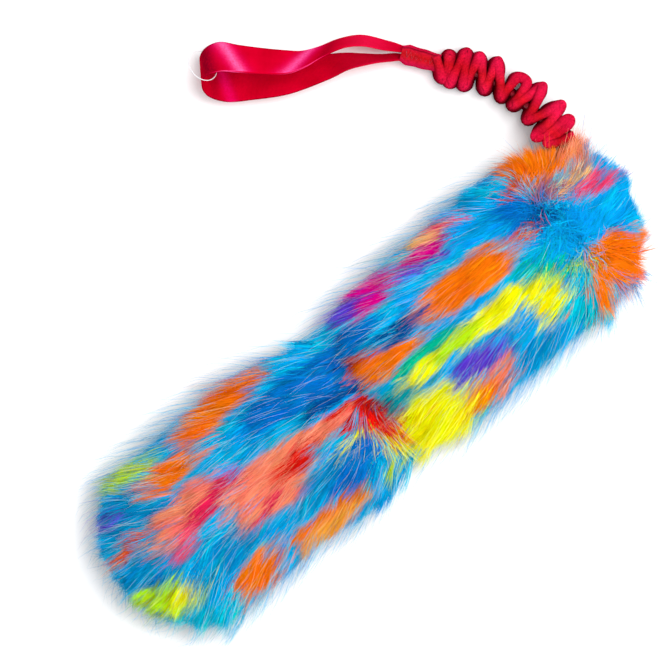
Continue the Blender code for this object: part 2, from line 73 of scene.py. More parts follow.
# The pile: its strands, before the underside is thinned, and how wide a strand is in
# each row from root to tip
STRANDS = 214000
LOCK_STRANDS = 15
PIECES_PER_LOBE = 3
UNDERSIDE_SHARE = 0.35
BARE_MOUTH = 0.006
STRAND_LENGTH = 0.028
STRAND_WIDTH = 0.00034
STRAND_WANDER = 0.0010
TAPER = (0.9, 1.0, 0.75, 0.12)
ROWS = len(TAPER)
ROW_SHARE = np.linspace(0.0, 1.0, ROWS)[:, None]

# The pile's limits: its lowest point, the height below which it is lifted and above
# which it is pressed down, and its reach in X and in Y
PILE_LOWEST = 0.0006
PILE_LOW = 0.004
PILE_TOP = 0.064
PILE_REACH = (0.2005, 0.2175)

# The lie of the pile: its fan on each lobe, the parting and the dent in the photo's
# pixels, and the whorl by its place along and across the body. A fall is a fade, and
# the distance up to which there is none.
FAN = (0.40, 0.38)
PARTING = ((535, 205), (588, 254))
PARTING_PULL = 3.0
PARTING_FALL = (55.0, 35.0)
PARTING_SOFTNESS = 12.0
WHORL = (-0.150, 0.009)
WHORL_PULL = 1.1
WHORL_FALL = (0.055, 0.03)
WHORL_SOFTNESS = 0.012
DENT = (640, 208)
DENT_RADIUS = 24.0

# Angles in degrees, as a mean and a spread, at which a strand leaves its root and ends
LIFT = (25.0, 5.0)
DROOP = (-9.0, 7.0)

# Tufts: the middle, the radius, the point that the pile is drawn to, or away from where
# the radius is below 0, and the change in length
TUFTS = [
    ((570, 172), 20, (574, 140), 0.8), ((596, 208), 24, (628, 172), 1.25),
    ((512, 184), 16, (486, 196), 1.1), ((562, 250), 18, (540, 290), 1.0),
    ((374, 416), -22, (356, 392), 1.0), ((612, 238), 16, (645, 234), 1.0),
    ((612, 262), 16, (640, 272), 1.0), ((600, 282), 14, (604, 320), 1.1),
]

# The bungee and the handle, as in the CAD source
CLEARANCE = 0.0003
WEBBING_WIDTH = 0.025
WEBBING_THICK = 0.0012
CORE_DIAMETER = 0.004
STRAP_OFFSET = CORE_DIAMETER / 2.0 + CLEARANCE + WEBBING_THICK / 2.0
NECK_FRONT = (402.0, 52.5)
NECK_REAR = (439.0, 62.6)
NECK_TALL = 0.010
NECK_CORE = 0.016
BUNGEE_LEAD = (488.0, 70.0)
BUNGEE_PULL = 0.042
BUNGEE_LOW = 0.0105
BUNGEE_RISE_FROM = 0.35
MOUTH = Vector((0.13139, 0.12171, 0.027))
MOUTH_HEADING = math.radians(126.0)
SLEEVE_TALL = 0.020
TAB_WIDTH = 0.016
TAB_REACH = 0.006
TAB_TAIL = 0.008

# The ruffle: how full its webbing is, how far off the elastic a fold is at its widest and
# its painted sheen brightest, how its rim flares and leans, and how much of a turn it fills
SLEEVE_THICK = 0.0074
RIM_SHARE = 0.38
RUFFLE_REACH = 0.0095
RUFFLE_FLARE = 16.0
RUFFLE_LEAN = 0.20
RUFFLE_SLIM = 0.80
RUFFLE_LOWEST = 0.0004
TURN_SHARE = 0.92
# The tube inside the folds is the webbing's real inner fold, painted nearly black as the shade
# between the folds
INNER_RADIUS = 0.0040
INNER_DROP = 0.004
INNER_PAINTED_SHADE = 0.14

# The ruffle's turns in the photo's pixels, and half the width of the finger that a fold
# ends in, where it isn't the usual one
FINGER_HALF = 2.6
RUFFLE_TURNS = [
    (436.5, 57), (443, 76), (450, 56.5), (451, 80), (466, 55), (464.5, 82.5), (479.5, 59),
    (485, 86.5), (497.5, 64), (502, 94.5), (522, 80.5, 6.5), (515, 103.5), (540, 89.5),
    (529.5, 117.5), (557.5, 108), (539, 133.5), (565, 122.5), (550, 141), (572, 135),
]

# Pitch of the ribs across the webbing and of the warp along it
RIB_PITCH = 0.00085
WARP_PITCH = 0.0006

CAMERA_HEIGHT = 6.0
FLOOR_HALF = 3.0
# A lamp has a name, a place, a size and a power
LAMPS = [("key", (0.85, 0.45, 2.5), 1.5, 54.5), ("fill", (0.6, -1.5, 2.2), 1.6, 11.0)]
WORLD_FILL = 0.70

UP = np.array([0.0, 0.0, 1.0])
LEVEL = np.array([1.0, 1.0, 0.0])


# Plain helpers


def at_pixel(px, py, height=0.0):
    return Vector(((px - PLAN_CENTRE[0]) * PIXEL, (PLAN_CENTRE[1] - py) * PIXEL, height))


def to_pixel(x, y):
    return x / PIXEL + PLAN_CENTRE[0], PLAN_CENTRE[1] - y / PIXEL


def plan_distance(places, spot):
    return np.linalg.norm(places[:, :2] - np.array(spot)[:2], axis=1)


def travelled(places):
    steps = np.linalg.norm(np.diff(np.asarray(places, float), axis=0), axis=1)
    return np.concatenate([[0.0], np.cumsum(steps)])


def unit(ways):
    return ways / np.maximum(np.linalg.norm(ways, axis=-1, keepdims=True), 1e-12)


def smooth(share):
    held = np.clip(share, 0.0, 1.0)
    return held * held * (3.0 - 2.0 * held)


def near(far, fade, full=0.0):
    """1 up to the distance full, and from there to 0 over about twice fade."""
    return np.exp(-(np.maximum(far - full, 0.0) / fade) ** 2)


def linear(red, green, blue):
    parts = np.array([red, green, blue]) / 255.0
    return np.where(parts <= 0.04045, parts / 12.92, ((parts + 0.055) / 1.055) ** 2.4)


def through(points, count):
    """Points on a smooth curve through the given points, count to each span."""
    keys = np.array([points[0], *points, points[-1]], float)
    s = np.arange(count)[:, None] / count
    path = []
    for a, b, c, d in zip(keys, keys[1:], keys[2:], keys[3:]):
        path += list(0.5 * (2 * b + (c - a) * s + (2 * a - 5 * b + 4 * c - d) * s * s
                            + (3 * b - a - 3 * c + d) * s ** 3))
    return path + [keys[-1]]


NECK = at_pixel(*NECK_REAR) - at_pixel(*NECK_FRONT)
NECK_AHEAD = NECK.normalized()


# Materials


def add_node(tree, kind, inputs=None, **settings):
    """A node with its settings, and its inputs set or linked by socket name or number."""
    made = tree.nodes.new(kind)
    for name, value in settings.items():
        setattr(made, name, value)
    for name, value in (inputs or {}).items():
        if isinstance(value, bpy.types.NodeSocket):
            tree.links.new(value, made.inputs[name])
        else:
            made.inputs[name].default_value = value
    return made


def maths(tree, operation, first, second=0.0):
    return add_node(tree, "ShaderNodeMath", {0: first, 1: second}, operation=operation).outputs[0]


def blended(tree, share, first, second, way="MIX"):
    made = add_node(tree, "ShaderNodeMix", {0: share, 6: first, 7: second},
                    data_type="RGBA", blend_type=way)
    return made.outputs[2]


def dimmed(tree, colour, shade):
    return blended(tree, 1.0, colour, shade, "MULTIPLY")


def grey(level):
    return (level, level, level, 1.0)


def tone(colour):
    return (*linear(*colour), 1.0)


def ramp(tree, value, start, end):
    """Colour that goes from one stop to another. A stop is a value and a colour."""
    made = add_node(tree, "ShaderNodeValToRGB", {0: value})
    for element, (place, colour) in zip(made.color_ramp.elements, (start, end)):
        element.position = place
        element.color = colour
    return made.outputs[0]


def shades(tree, value, start, end):
    """The same in grey. A stop is a value and a level."""
    return ramp(tree, value, (start[0], grey(start[1])), (end[0], grey(end[1])))


def painted_coat(tree):
    return add_node(tree, "ShaderNodeAttribute", attribute_name="coat").outputs


def new_material(name, roughness, **constants):
    made = bpy.data.materials.new(name)
    made.use_nodes = True
    main = made.node_tree.nodes["Principled BSDF"]
    main.inputs["Roughness"].default_value = roughness
    for socket, value in constants.items():
        main.inputs[socket.replace("_", " ")].default_value = value
    return made, made.node_tree, main


def bump(tree, main, height, strength, distance):
    made = add_node(tree, "ShaderNodeBump",
                    {"Height": height, "Strength": strength, "Distance": distance})
    tree.links.new(made.outputs[0], main.inputs["Normal"])


def noise(tree, scale, detail=3.0):
    place = add_node(tree, "ShaderNodeTexCoord").outputs["Object"]
    return add_node(tree, "ShaderNodeTexNoise",
                    {"Vector": place, "Scale": scale, "Detail": detail}).outputs["Fac"]


def pile_material():
    """Each strand's own dye, with painted shade towards its root and fine changes along it."""
    made, tree, main = new_material("pile", 0.7, Specular_IOR_Level=0.03)
    coat_paint = painted_coat(tree)
    # Painted shade: the dye darkens towards each strand's root, deep in the pile
    root = shades(tree, coat_paint["Alpha"], (0.0, 0.36), (0.42, 1.0))
    fine = shades(tree, noise(tree, 900.0), (0.3, 0.95), (0.7, 1.0))
    colour = dimmed(tree, dimmed(tree, coat_paint["Color"], root), fine)
    tree.links.new(colour, main.inputs["Base Color"])
    return made


def skin_material():
    """The knitted backing and the crush of pile next to it."""
    made, tree, main = new_material("backing", 0.95, Specular_IOR_Level=0.1)
    tufts = noise(tree, 420.0, 6.0)
    shade = shades(tree, tufts, (0.35, 0.25), (0.65, 0.75))
    colour = dimmed(tree, painted_coat(tree)["Color"], shade)
    tree.links.new(colour, main.inputs["Base Color"])
    bump(tree, main, tufts, 0.8, 0.002)
    return made


def waves(tree, value, pitch):
    return maths(tree, "SINE", maths(tree, "MULTIPLY", value, 2.0 * math.pi / pitch))


def painted_band(tree, colour, along, across, grain, band):
    """A soft painted band of sheen or shade across the webbing, with the weave's grain."""
    middle, half, strength, slant, tint = band
    slanted = maths(tree, "ADD", along, maths(tree, "MULTIPLY", across, -slant))
    far = maths(tree, "DIVIDE", maths(tree, "SUBTRACT", slanted, middle), half)
    far = maths(tree, "MULTIPLY", far, far)
    fall = maths(tree, "EXPONENT", maths(tree, "MULTIPLY", far, -1.0))
    fall = maths(tree, "MULTIPLY", maths(tree, "MULTIPLY", fall, strength), grain)
    return blended(tree, fall, colour, tone(tint))


def webbing_material(name, deep, bright, bands=(), painted=False):
    """Satin webbing: ribs across it, fine warp along it, painted shade along its edges, and painted
    bands of sheen and shade.
    """
    made, tree, main = new_material(name, 0.5, Specular_IOR_Level=0.0)
    place = add_node(tree, "ShaderNodeUVMap", uv_map="weave").outputs[0]
    across, along, _ = add_node(tree, "ShaderNodeSeparateXYZ", {0: place}).outputs
    ribs, warp = waves(tree, along, RIB_PITCH), waves(tree, across, WARP_PITCH)
    share = maths(tree, "ADD", maths(tree, "MULTIPLY", ribs, 0.12), noise(tree, 60.0, 5.0))
    colour = ramp(tree, share, (0.1, tone(deep)), (0.9, tone(bright)))
    # The map's second face runs back across the first
    half_width = WEBBING_WIDTH / 2.0
    folded = maths(tree, "ABSOLUTE", maths(tree, "SUBTRACT", across, half_width))
    folded = maths(tree, "SUBTRACT", half_width, folded)
    # Painted shade: the webbing darkens along both of its edges
    rim = maths(tree, "DIVIDE", maths(tree, "ABSOLUTE", folded), half_width)
    colour = dimmed(tree, colour, shades(tree, rim, (0.92, 1.0), (0.98, 0.5)))
    grain = shades(tree, noise(tree, 700.0, 4.0), (0.3, 0.55), (0.6, 1.0))
    # Painted bands of sheen and shade across the webbing
    for band in bands:
        colour = painted_band(tree, colour, along, folded, grain, band)
    # The coat attribute brings the ruffle's and the neck's painted shade and sheen
    if painted:
        weave = shades(tree, noise(tree, 800.0, 4.0), (0.32, 0.66), (0.6, 1.0))
        colour = dimmed(tree, dimmed(tree, colour, weave), painted_coat(tree)["Color"])
    tree.links.new(colour, main.inputs["Base Color"])
    height = maths(tree, "ADD", ribs, maths(tree, "MULTIPLY", warp, 0.35))
    bump(tree, main, height, 0.30, 0.00012)
    return made


def thread_material(name, deep, bright):
    """Thread with its twist running round it."""
    made, tree, main = new_material(name, 0.5, Specular_IOR_Level=0.4)
    place = add_node(tree, "ShaderNodeTexCoord").outputs["Object"]
    twist = add_node(tree, "ShaderNodeTexWave",
                     {"Vector": place, "Scale": 420.0, "Distortion": 1.5},
                     bands_direction="DIAGONAL").outputs["Fac"]
    tree.links.new(blended(tree, twist, tone(deep), tone(bright)), main.inputs["Base Color"])
    bump(tree, main, twist, 0.5, 0.0002)
    return made


def speckled_material(name, deep, bright, roughness, scale, depth):
    """Uneven colour, gloss and surface, for the plainer pieces."""
    made, tree, main = new_material(name, roughness)
    cloud = noise(tree, scale, 5.0)
    colour = ramp(tree, cloud, (0.3, tone(deep)), (0.7, tone(bright)))
    tree.links.new(colour, main.inputs["Base Color"])
    rough = maths(tree, "ADD", maths(tree, "MULTIPLY", cloud, 0.15), roughness - 0.07)
    tree.links.new(rough, main.inputs["Roughness"])
    bump(tree, main, cloud, 0.4, depth)
    return made


# Mesh helpers


def flat(values, kind=np.float32):
    return np.asarray(values, kind).ravel()


def mesh_of(name, verts, quads):
    mesh = bpy.data.meshes.new(name)
    mesh.vertices.add(len(verts))
    mesh.vertices.foreach_set("co", flat(verts))
    mesh.loops.add(quads.size)
    mesh.loops.foreach_set("vertex_index", flat(quads, np.int32))
    mesh.polygons.add(len(quads))
    mesh.polygons.foreach_set("loop_start", np.arange(0, quads.size, 4, dtype=np.int32))
    mesh.update(calc_edges=True)
    mesh.shade_smooth()
    return mesh


def add_object(name, data):
    made = bpy.data.objects.new(name, data)
    bpy.context.scene.collection.objects.link(made)
    return made


def add_piece(name, mesh, finish):
    mesh.materials.append(finish)
    return add_object(name, mesh)


def dyed(mesh, colours):
    layer = mesh.attributes.new("coat", "FLOAT_COLOR", "POINT")
    layer.data.foreach_set("color", flat(colours))


def add_map(mesh, name, places):
    layer = mesh.uv_layers.new(name=name)
    layer.uv.foreach_set("vector", flat(places))


def points_of(mesh):
    places = np.empty(len(mesh.vertices) * 3)
    mesh.vertices.foreach_get("co", places)
    return places.reshape(-1, 3)


def loft(name, rings, lengths, widths, finish):
    """A closed skin over rings of points, with a map in metres across and along it."""
    rings = np.asarray(rings, float)
    count, around = rings.shape[:2]
    number = np.arange(count * around).reshape(count, around)
    turn = np.roll(number, -1, axis=1)
    quads = np.stack([number[:-1], turn[:-1], turn[1:], number[1:]], -1).reshape(-1, 4)
    mesh = mesh_of(name, rings.reshape(-1, 3), quads)
    across = np.append(widths, widths[0])
    places = np.empty((count - 1, around, 4, 2))
    for corner, (step, row) in enumerate(((0, 0), (1, 0), (1, 1), (0, 1))):
        places[:, :, corner, 0] = across[step:around + step]
        places[:, :, corner, 1] = lengths[row:count - 1 + row, None]
    add_map(mesh, "weave", places)
    made = add_piece(name, mesh, finish)
    close_ends(mesh)
    return made


def close_ends(mesh):
    bm = bmesh.new()
    bm.from_mesh(mesh)
    bmesh.ops.holes_fill(bm, edges=[edge for edge in bm.edges if edge.is_boundary], sides=0)
    bmesh.ops.recalc_face_normals(bm, faces=bm.faces)
    bm.to_mesh(mesh)
    bm.free()


def join_into(first, second):
    bm = bmesh.new()
    bm.from_mesh(first.data)
    bm.from_mesh(second.data)
    bm.to_mesh(first.data)
    bm.free()
    bpy.data.objects.remove(second)


def tube(name, path, radius, around, girth, finish):
    """A round tube along a path. Its map is as wide as girth."""
    path = np.asarray(path, float)
    ahead = unit(np.gradient(path, axis=0))
    side = unit(np.cross(UP, ahead))
    turn = np.linspace(0.0, 2.0 * math.pi, around, endpoint=False)[:, None]
    rings = (path[:, None] + radius * np.cos(turn) * side[:, None]
             + radius * np.sin(turn) * np.cross(ahead, side)[:, None])
    return loft(name, rings, travelled(path), np.linspace(0.0, girth, around), finish)


# Plush body


AXIS = np.array([math.cos(HEADING), math.sin(HEADING), 0.0])
SIDE = np.array([-math.sin(HEADING), math.cos(HEADING), 0.0])
ORIGIN = np.array(at_pixel(*WAIST, BODY_MIDDLE))


def form(u, inset):
    """Half width, half height and sideways sway of the body at a distance from its waist."""
    upper = u >= 0.0
    length, width, cap, sway = (np.where(upper, a, b) for a, b in zip(UPPER, LOWER))
    x = np.abs(u)
    inside = np.clip((length - inset - x) / cap, 0.0, 1.0)
    shrink = np.sqrt(1.0 - (1.0 - inside) ** 2)
    waist = WAIST_WIDTH_SHARE + (1.0 - WAIST_WIDTH_SHARE) * smooth(x / WAIST_BLEND)
    half_width = (width / 2.0 - inset) * waist * shrink
    tall = np.maximum(BODY_TALL * np.tanh(WEDGE * x / BODY_TALL) - inset, SKIN_LOWEST)
    return half_width, tall * shrink, sway * smooth(x / (length / 2.0))


def ripple(x, y, size, seed):
    """A smooth value that wanders between about -1 and 1 over the plan."""
    rng = np.random.default_rng(seed)
    total = np.zeros(np.shape(x))
    for octave in range(5):
        turn, phase = rng.uniform(0.0, 2.0 * math.pi, 2)
        wave = 2.0 * math.pi * 1.35 ** octave / size
        total = total + np.sin((x * math.cos(turn) + y * math.sin(turn)) * wave + phase)
    return total / 2.5


def body_skin(finish):
    """The backing, as one skin round both lobes and the waist."""
    ends = np.linspace(0.0, math.pi, 90)
    low, high = -(LOWER[0] - SKIN_INSET), UPPER[0] - SKIN_INSET
    u = low + (high - low) * (1.0 - np.cos(ends)) / 2.0
    angle = np.linspace(0.0, 2.0 * math.pi, 64, endpoint=False)
    half_width, tall, sway = form(u, SKIN_INSET)

    def rounded(turn):
        return np.sign(turn) * np.abs(turn) ** SKIN_ROUNDNESS

    y = sway[:, None] + half_width[:, None] * rounded(np.cos(angle))
    z = np.maximum(tall[:, None] * rounded(np.sin(angle)), SKIN_LOWEST - BODY_MIDDLE)
    rings = ORIGIN + u[:, None, None] * AXIS + y[:, :, None] * SIDE + z[:, :, None] * UP
    lumps = LUMP_HEIGHT * ripple(rings[:, :, 0], rings[:, :, 1], LUMP_SIZE, seed=3)
    rings[:, :, 2] += lumps * (z > 0.0)
    around = angle / (2.0 * math.pi) * SKIN_GIRTH
    skin = loft("fur_skin", rings, u - low, around, finish)
    places = points_of(skin.data)
    colour = coat(places[:, 0], places[:, 1], 0.0) * 0.6
    dyed(skin.data, np.column_stack([colour, np.ones(len(colour))]))
    return skin


# Dye: a base of blue, with soft ovals of other colours along the pile, and small dark ovals of
# painted shadow at the waist. Each has its middle in the photo's pixels, half its length and
# width, its heading and its colour.
DYES = {
    "blue": (0, 172, 238), "deep": (0, 122, 208), "aqua": (0, 200, 224), "teal": (0, 196, 158),
    "orange": (255, 122, 4), "rust": (226, 74, 8), "amber": (255, 168, 60),
    "yellow": (255, 255, 0), "lime": (186, 226, 20), "magenta": (226, 0, 146),
    "purple": (96, 60, 208), "coral": (255, 136, 106), "pink": (250, 70, 118),
    "crimson": (232, 34, 88), "red": (222, 20, 8), "peach": (250, 180, 116),
    "salmon": (255, 146, 102), "mauve": (176, 96, 124), "haze": (150, 170, 190),
    # The darkest dye here is painted shadow for the crease at the waist
    "sea": (0, 152, 208), "navy": (0, 84, 160), "lagoon": (0, 160, 172), "waist_shadow": (16, 44, 96),
}
PATCHES = [
    (520, 211, 26, 18, 10, "deep"), (588, 220, 36, 30, 40, "blue"),
    (330, 375, 44, 26, 35, "deep"), (290, 395, 60, 18, 38, "deep"),
    (356, 460, 32, 20, 60, "deep"), (404, 393, 34, 13, 25, "lagoon"),
    (583, 306, 34, 15, 100, "aqua"), (206, 615, 40, 13, 12, "aqua"),
    (140, 520, 34, 30, 50, "sea"), (236, 545, 50, 15, 48, "sea"),
    (324, 480, 28, 13, 50, "sea"), (160, 570, 36, 22, 30, "sea"),
    (402, 330, 28, 10, 38, "navy"), (352, 338, 34, 12, 38, "deep"), (326, 402, 20, 8, 30, "navy"),
    (540, 350, 26, 14, 45, "sea"), (545, 218, 16, 8, 10, "navy"),
    (430, 350, 40, 9, 36, "teal"), (548, 266, 36, 10, 6, "teal"),
    (572, 148, 24, 26, 0, "salmon"), (530, 163, 32, 20, 0, "orange"),
    (514, 186, 11, 9, 0, "rust"), (548, 190, 18, 10, 0, "mauve"), (576, 171, 16, 7, 10, "haze"),
    (590, 186, 25, 11, 13, "pink"), (571, 184, 9, 8, 50, "peach"),
    (525, 232, 8, 6, 0, "rust"), (624, 250, 32, 19, 0, "orange"),
    (620, 268, 24, 15, -30, "orange"), (602, 292, 22, 10, 105, "orange"),
    (468, 279, 60, 20, 34, "orange"), (393, 356, 42, 8, 34, "orange"),
    (582, 266, 16, 4, -20, "lime"), (547, 296, 25, 21, 100, "yellow"),
    (495, 312, 44, 12, 40, "yellow"),
    (450, 346, 44, 7, 36, "lime"), (426, 367, 20, 9, 38, "yellow"),
    (484, 357, 34, 13, 32, "purple"), (497, 378, 22, 14, 55, "coral"),
    (486, 392, 24, 9, 45, "orange"), (436, 420, 48, 32, 38, "yellow"),
    (428, 250, 30, 9, 34, "magenta"), (436, 230, 24, 8, 34, "pink"),
    (425, 238, 16, 6, 34, "peach"), (432, 261, 20, 5, 25, "purple"),
    (372, 294, 32, 17, 40, "magenta"), (345, 308, 22, 10, 30, "purple"),
    (366, 366, 26, 14, 15, "rust"), (380, 368, 18, 13, 10, "orange"),
    (364, 437, 20, 4, 14, "yellow"), (392, 446, 16, 6, -55, "yellow"),
    (399, 460, 12, 5, -70, "lime"),
    (350, 414, 22, 12, 26, "red"), (374, 415, 22, 13, -16, "red"), (391, 430, 16, 10, -58, "red"),
    # The darkest small ovals at the waist are painted shadow in the crease between the lobes
    (343, 364, 7, 6, 0, "waist_shadow"), (360, 402, 15, 7, 0, "red"), (366, 421, 14, 11, 0, "red"),
    (362, 390, 12, 4, 8, "waist_shadow"), (387, 403, 11, 5, -38, "waist_shadow"),
    (312, 433, 38, 8, 28, "coral"), (273, 480, 54, 29, 42, "coral"),
    (300, 458, 18, 12, 50, "red"), (272, 505, 15, 5, 68, "crimson"),
    (219, 407, 58, 15, 40, "orange"),
    (175, 471, 34, 14, 38, "orange"), (132, 471, 26, 10, 42, "lime"),
    (190, 510, 44, 20, 52, "coral"), (212, 500, 38, 9, 54, "crimson"),
    (188, 540, 20, 7, 70, "pink"), (130, 548, 19, 7, 65, "rust"),
    (100, 522, 9, 22, 80, "purple"), (166, 598, 36, 16, 12, "lime"),
    (186, 592, 15, 10, 30, "yellow"), (262, 568, 34, 17, 52, "orange"),
    (337, 513, 48, 14, 42, "orange"), (334, 521, 42, 10, 42, "amber"),
]

# A mark's edge: how far it wanders in pixels, where it ends and the span that it fades
# over as shares of the mark's size, and how it strays from lock to lock and strand to
# strand
EDGE_WANDER = 2.5
EDGE_END = 1.12
EDGE_FADE = 0.24
LOCK_STRAY = 6.5
STRAND_STRAY = 3.0

# Some guard hairs are pale: how many, how strongly, in which rows, and their colour
PALE_SHARE = 0.5
PALE_STRENGTH = 0.55
PALE_ROWS = (0.1, 0.4, 0.8, 1.0)
PALE_TIP = (0.86, 0.82, 0.55)


def coat(x, y, stray):
    """The dye at a place in the plan. stray moves each clump's edge to and fro."""
    px, py = to_pixel(x, y)
    px = px + stray + EDGE_WANDER * ripple(px, py, 33.0, seed=11)
    py = py - stray * 0.8 + EDGE_WANDER * ripple(px, py, 29.0, seed=12)
    tint = smooth(0.5 + 0.5 * ripple(px, py, 130.0, seed=7))[..., None]
    colour = linear(*DYES["blue"]) * (1.0 - 0.4 * tint) + linear(*DYES["aqua"]) * 0.4 * tint
    for mx, my, long, wide, heading, dye in PATCHES:
        turn = math.radians(heading)
        along = (px - mx) * math.cos(turn) - (py - my) * math.sin(turn)
        across = (px - mx) * math.sin(turn) + (py - my) * math.cos(turn)
        far = np.sqrt((along / long) ** 2 + (across / wide) ** 2)
        share = smooth((EDGE_END - far) / EDGE_FADE)[..., None]
        colour = colour * (1.0 - share) + linear(*DYES[dye]) * share
    return colour


def from_parting(x, y):
    """Way and distance, in pixels, from the line at the upper tip where the pile parts."""
    px, py = to_pixel(x, y)
    wander = 6.0 * ripple(px, py, 24.0, seed=31), 6.0 * ripple(px, py, 27.0, seed=32)
    px, py = px + wander[0], py + wander[1]
    (ax, ay), (bx, by) = PARTING
    share = ((px - ax) * (bx - ax) + (py - ay) * (by - ay)) / ((bx - ax) ** 2 + (by - ay) ** 2)
    share = np.clip(share, 0.0, 1.0)
    dx, dy = px - ax - share * (bx - ax), py - ay - share * (by - ay)
    return dx, -dy, np.sqrt(dx ** 2 + dy ** 2)


def comb(places, normals, rng):
    """Which way the pile lies at each root: down the body and outwards, off the parting
    at the upper tip, and out of the whorl near the lower one."""
    rel = places - ORIGIN
    u, v = rel @ AXIS, rel @ SIDE
    half_width, _, sway = form(u, 0.0)
    lean = (v - sway) / np.maximum(half_width, 0.03)
    flow = -AXIS + (np.where(u > 0.0, *FAN) * lean)[:, None] * SIDE
    dx, dy, parted = from_parting(places[:, 0], places[:, 1])
    pull = PARTING_PULL * near(parted, *PARTING_FALL) / (parted + PARTING_SOFTNESS)
    flow = flow * smooth(parted / 90.0 + 0.15)[:, None]
    flow[:, 0] += pull * dx
    flow[:, 1] += pull * dy
    du, dv = u - WHORL[0], v - WHORL[1]
    far = np.sqrt(du ** 2 + dv ** 2) + WHORL_SOFTNESS
    pull = WHORL_PULL * near(far, *WHORL_FALL) * smooth((0.03 - du) / 0.06)
    flow += (pull * du / far)[:, None] * AXIS + (pull * dv / far)[:, None] * SIDE
    loose = 0.07 + 1.5 * near(parted, 15.0)
    turn = 0.25 * ripple(places[:, 0], places[:, 1], 0.035, seed=21) + rng.normal(0.0, loose)
    cos, sin = np.cos(turn), np.sin(turn)
    flow = np.stack([flow[:, 0] * cos - flow[:, 1] * sin, flow[:, 0] * sin + flow[:, 1] * cos,
                     -0.35 * (1.0 - np.abs(normals[:, 2]))], 1)
    return unit(flow - normals * (flow * normals).sum(1, keepdims=True))


def tufted(places, flow, length, rng):
    """Draws the pile near each tuft's middle towards its point, or away where the radius
    is below 0, and changes its length."""
    for middle, radius, point, longer in TUFTS:
        way, radius = math.copysign(1.0, radius), abs(radius)
        far = plan_distance(places, at_pixel(*middle)) / PIXEL
        share = smooth((radius - far) / radius * 2.0) * (places[:, 2] > BODY_MIDDLE * 0.6)
        aim = unit(way * (np.array(at_pixel(*point)) - places) * LEVEL)
        aim[:, :2] += rng.normal(0.0, 0.16, (len(places), 2))
        flow = unit(flow * (1.0 - share)[:, None] + aim * share[:, None])
        length = length * (1.0 + (longer - 1.0) * share)
    return flow, length


def roots_on(skin, count, rng):
    """Random places on a mesh, even by area, with their normals."""
    mesh = skin.data
    mesh.calc_loop_triangles()
    corners = np.empty(len(mesh.loop_triangles) * 3, np.int32)
    mesh.loop_triangles.foreach_get("vertices", corners)
    normals = np.empty(len(mesh.vertices) * 3)
    mesh.vertex_normals.foreach_get("vector", normals)
    places, normals = points_of(mesh), normals.reshape(-1, 3)
    a, b, c = corners.reshape(-1, 3).T
    area = np.linalg.norm(np.cross(places[b] - places[a], places[c] - places[a]), axis=1)
    pick = rng.choice(len(area), count, p=area / area.sum())
    s, t = rng.uniform(0.0, 1.0, (2, count, 1))
    root = np.sqrt(s)
    shares = (1.0 - root, root * (1.0 - t), root * t)
    spot = sum(w * places[k[pick]] for w, k in zip(shares, (a, b, c)))
    out = sum(w * normals[k[pick]] for w, k in zip(shares, (a, b, c)))
    return spot, unit(out)


def thinned(roots, normals, rng):
    """Less pile under the body, and none where the bungee comes out."""
    bare = np.linalg.norm(roots - np.array(MOUTH), axis=1) < BARE_MOUTH
    spared = rng.uniform(0, 1, len(roots)) < UNDERSIDE_SHARE
    keep = ~bare & ((normals[:, 2] > -0.6) | spared)
    return roots[keep], normals[keep]


def grown(roots, normals, flow, length, lift, droop):
    """Middle line of each strand, in rows from its root to its tip."""
    rows = [roots]
    for row in range(ROWS - 1):
        share = (row + 0.5) / (ROWS - 1)
        angle = lift + (droop - lift) * share
        step = flow * np.cos(angle)[:, None] + normals * np.sin(angle)[:, None]
        step[:, 2] -= 0.30 * share * (1.0 - np.abs(normals[:, 2]))
        rows.append(rows[-1] + step * (length / (ROWS - 1))[:, None])
    return np.stack(rows, 1)


def clumped(lines, roots, rng):
    """Draws the strands' tips together in locks. Returns each strand's lock too."""
    heads = rng.choice(len(roots), len(roots) // LOCK_STRANDS, replace=False)
    tree = kdtree.KDTree(len(heads))
    for number, head in enumerate(heads):
        tree.insert(roots[head], number)
    tree.balance()
    lock = np.array([tree.find(place)[1] for place in roots])
    pull = rng.uniform(0.25, 0.7, len(roots))[:, None, None]
    return lines + (lines[heads[lock]] - lines) * ROW_SHARE ** 1.2 * pull, lock


def strand_lengths(roots, normals, parted, side, guard, rng):
    """Longer guard hairs, and shorter pile under the body, at both tips, at the parting
    and in the dent."""
    length = STRAND_LENGTH * rng.uniform(0.7, 1.15, len(roots))
    length *= np.where(guard, 1.45 + 0.20 * side, 1.0)
    length *= np.where(normals[:, 2] < -0.3, 0.6, 1.0)
    length *= 1.0 + 0.30 * side * rng.uniform(-0.6, 1.0, len(roots))
    along = (roots - ORIGIN) @ AXIS
    length *= 1.0 - 0.30 * smooth((along - 0.150) / 0.050) - 0.25 * smooth((-0.150 - along) / 0.045)
    length *= 1.0 - 0.55 * near(plan_distance(roots, at_pixel(*DENT)) / PIXEL, DENT_RADIUS)
    return length * (1.0 - 0.25 * near(parted, 30.0))


def drawn_in(lines):
    """Holds the pile inside the body's allowance, off the floor and under its top."""
    for axis, limit in enumerate(PILE_REACH):
        place = lines[:, :, axis]
        over = np.maximum(np.abs(place) - limit, 0.0)
        lines[:, :, axis] = place - 0.75 * over * np.sign(place)
    z = lines[:, :, 2]
    span = PILE_LOW - PILE_LOWEST
    z = np.where(z < PILE_LOW, PILE_LOWEST + span * np.exp((z - PILE_LOW) / PILE_LOW), z)
    lines[:, :, 2] = np.where(z > PILE_TOP, PILE_TOP + 0.3 * (z - PILE_TOP), z)
    return lines


